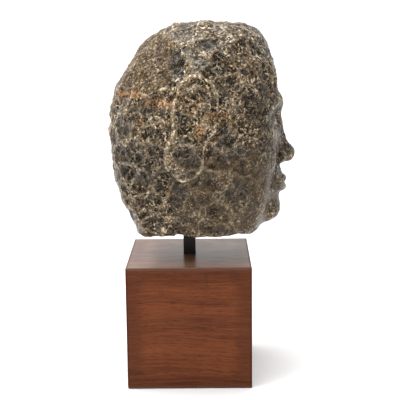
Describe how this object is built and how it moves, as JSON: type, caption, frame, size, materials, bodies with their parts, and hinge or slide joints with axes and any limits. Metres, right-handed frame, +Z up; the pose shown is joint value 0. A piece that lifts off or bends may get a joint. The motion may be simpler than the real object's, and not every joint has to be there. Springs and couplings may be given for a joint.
{
  "type": "stone head sculpture on a stand",
  "caption": "Weathered carved stone head with long ear lobes, held over a square wooden block by a short square steel bar.",
  "frame": {"origin": "middle of the block's underside, on the bar's axis", "axes": "+Z up along the bar, +X the way the head looks, the block's sides square to X and Y"},
  "size_m": [0.1921, 0.166, 0.3695],
  "materials": {
    "walnut": "red-brown walnut under a satin to gloss lacquer",
    "blackened_steel": "satin black",
    "dark_stone": "matt, pecked and weathered grey-brown stone with pale flecks and ochre stains"
  },
  "bodies": {
    "root": {"plinth_block": "walnut", "mounting_bar": "blackened_steel", "stone_head": "dark_stone"}
  },
  "joints": []
}
